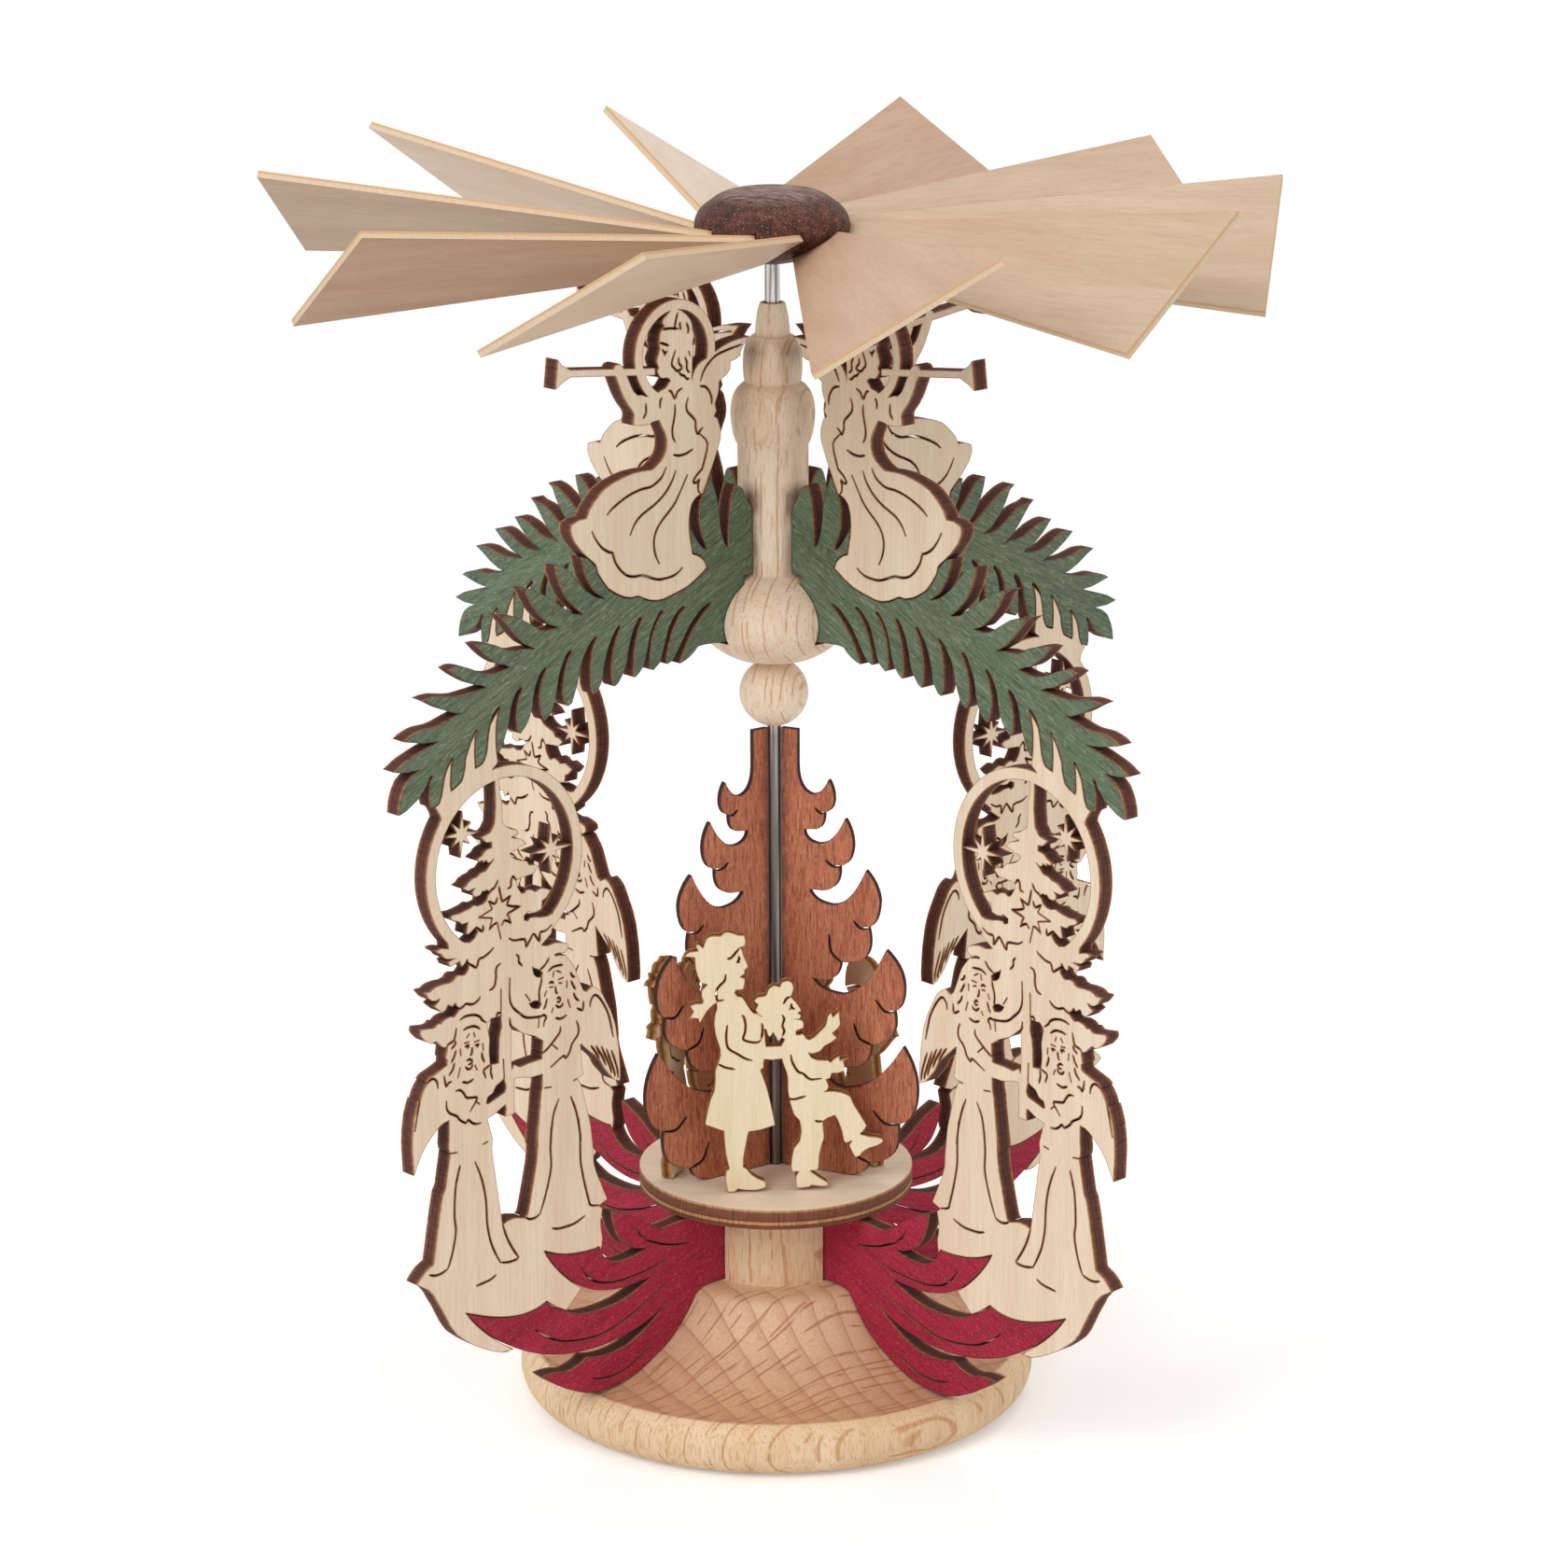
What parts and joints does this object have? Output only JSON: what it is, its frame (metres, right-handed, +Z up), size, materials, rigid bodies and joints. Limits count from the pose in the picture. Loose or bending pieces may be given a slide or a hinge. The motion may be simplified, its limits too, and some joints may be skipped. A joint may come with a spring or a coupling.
{
  "type": "christmas pyramid",
  "caption": "Wooden christmas pyramid: scroll-sawn side panels with angels, fir branches and carol singers round a plate of children and a fir tree, turned by a tilted-blade wheel.",
  "frame": {"origin": "centre of the base's resting face, on the shaft's axis", "axes": "+Z up along the shaft; the four side panels stand at 45, 135, 225 and 315 degrees from +X"},
  "size_m": [0.1658, 0.1672, 0.2138],
  "materials": {
    "beech": "turned and left raw, satin",
    "birch_plywood": "raw veneer with laser-burnt edges",
    "green_stain": "green stain, matte, laser-burnt edges",
    "red_stain": "red stain, matte, laser-burnt edges",
    "mahogany_stain": "reddish brown stain, matte",
    "dark_stain": "dark brown stain, satin",
    "blade_wood": "thin raw wood, matte",
    "steel": "drawn rod",
    "brass": "turned"
  },
  "bodies": {
    "stand": {"base_stand": "beech", "shaft_cup": "brass", "upper_column": "beech", "fir_branch_1": "green_stain", "trumpet_angel_1": "birch_plywood", "singers_panel_1": "birch_plywood", "leaf_spray_1": "red_stain", "fir_branch_2": "green_stain", "trumpet_angel_2": "birch_plywood", "singers_panel_2": "birch_plywood", "leaf_spray_2": "red_stain", "fir_branch_3": "green_stain", "trumpet_angel_3": "birch_plywood", "singers_panel_3": "birch_plywood", "leaf_spray_3": "red_stain", "fir_branch_4": "green_stain", "trumpet_angel_4": "birch_plywood", "singers_panel_4": "birch_plywood", "leaf_spray_4": "red_stain"},
    "rotor": {"shaft": "steel", "hub": "dark_stain", "spacer_ball": "beech", "plate": "birch_plywood", "blade_1": "blade_wood", "blade_2": "blade_wood", "blade_3": "blade_wood", "blade_4": "blade_wood", "blade_5": "blade_wood", "blade_6": "blade_wood", "blade_7": "blade_wood", "blade_8": "blade_wood", "blade_9": "blade_wood", "blade_10": "blade_wood", "tree_half_1": "mahogany_stain", "tree_half_2": "mahogany_stain", "tree_half_3": "mahogany_stain", "children_1": "birch_plywood", "children_2": "birch_plywood", "children_3": "birch_plywood"}
  },
  "joints": [
    {"name": "rotor_spin", "type": "hinge", "parent": "stand", "child": "rotor", "pos_m": [0, 0, 0.1], "axis": [0, 0, 1], "continuous": true}
  ]
}
